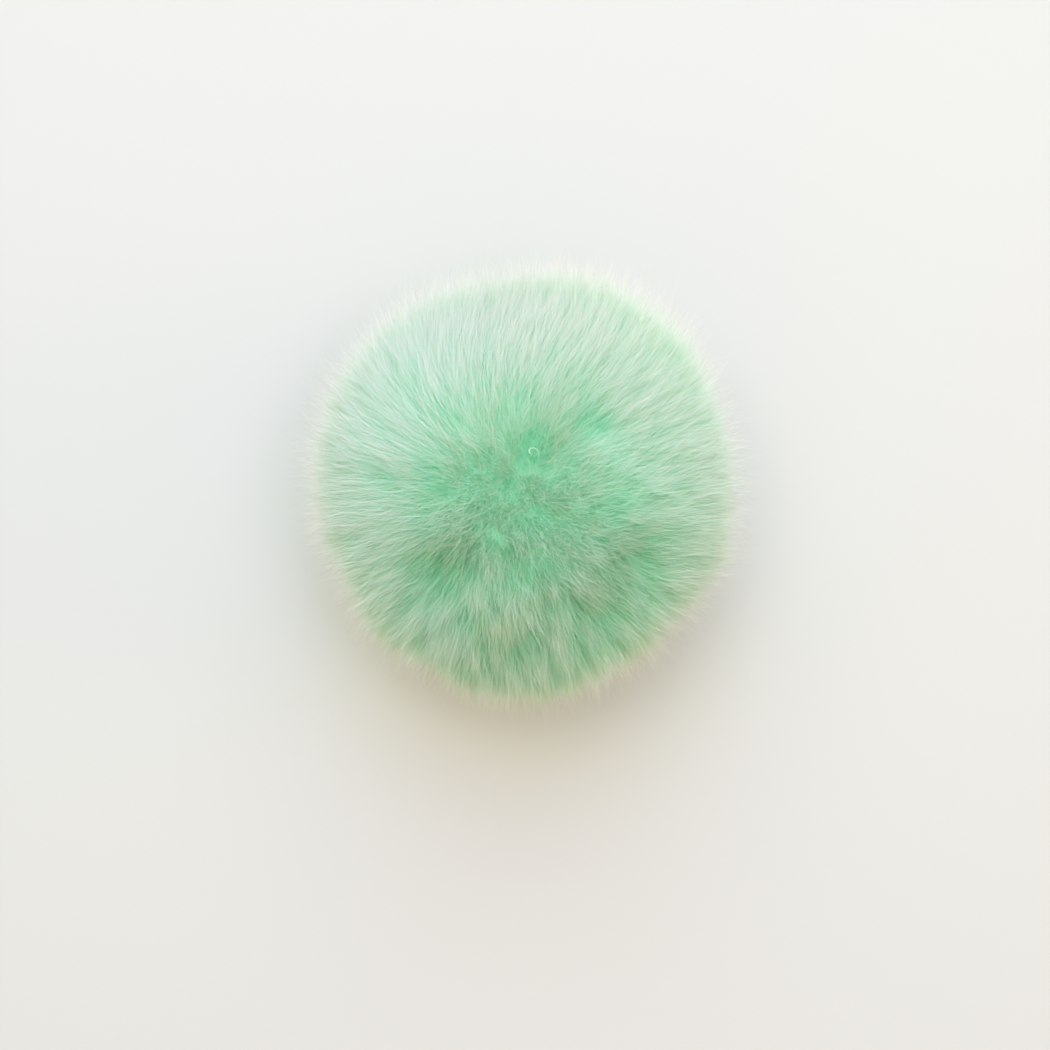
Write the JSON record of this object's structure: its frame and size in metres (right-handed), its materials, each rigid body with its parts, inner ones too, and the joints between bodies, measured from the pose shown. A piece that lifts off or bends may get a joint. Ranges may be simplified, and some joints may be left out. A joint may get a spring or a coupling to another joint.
{
  "type": "fur pom pom",
  "caption": "Round fluffy pom pom of dense faux fur with a small flat spot underneath, for trimming hats, bags and keyrings.",
  "frame": {"origin": "on the surface that the pom pom rests on, under the middle of its box", "axes": "+Z up out of the flat spot; +X and +Y lie along the surface, +X to the right and +Y up as seen in the picture"},
  "size_m": [0.081, 0.0804, 0.0758],
  "materials": {
    "mint_pile": "long, soft, matt polyester fur, deeper green at the roots and pale at the tips"
  },
  "bodies": {
    "root": {"pom_pom": "mint_pile"}
  },
  "joints": []
}
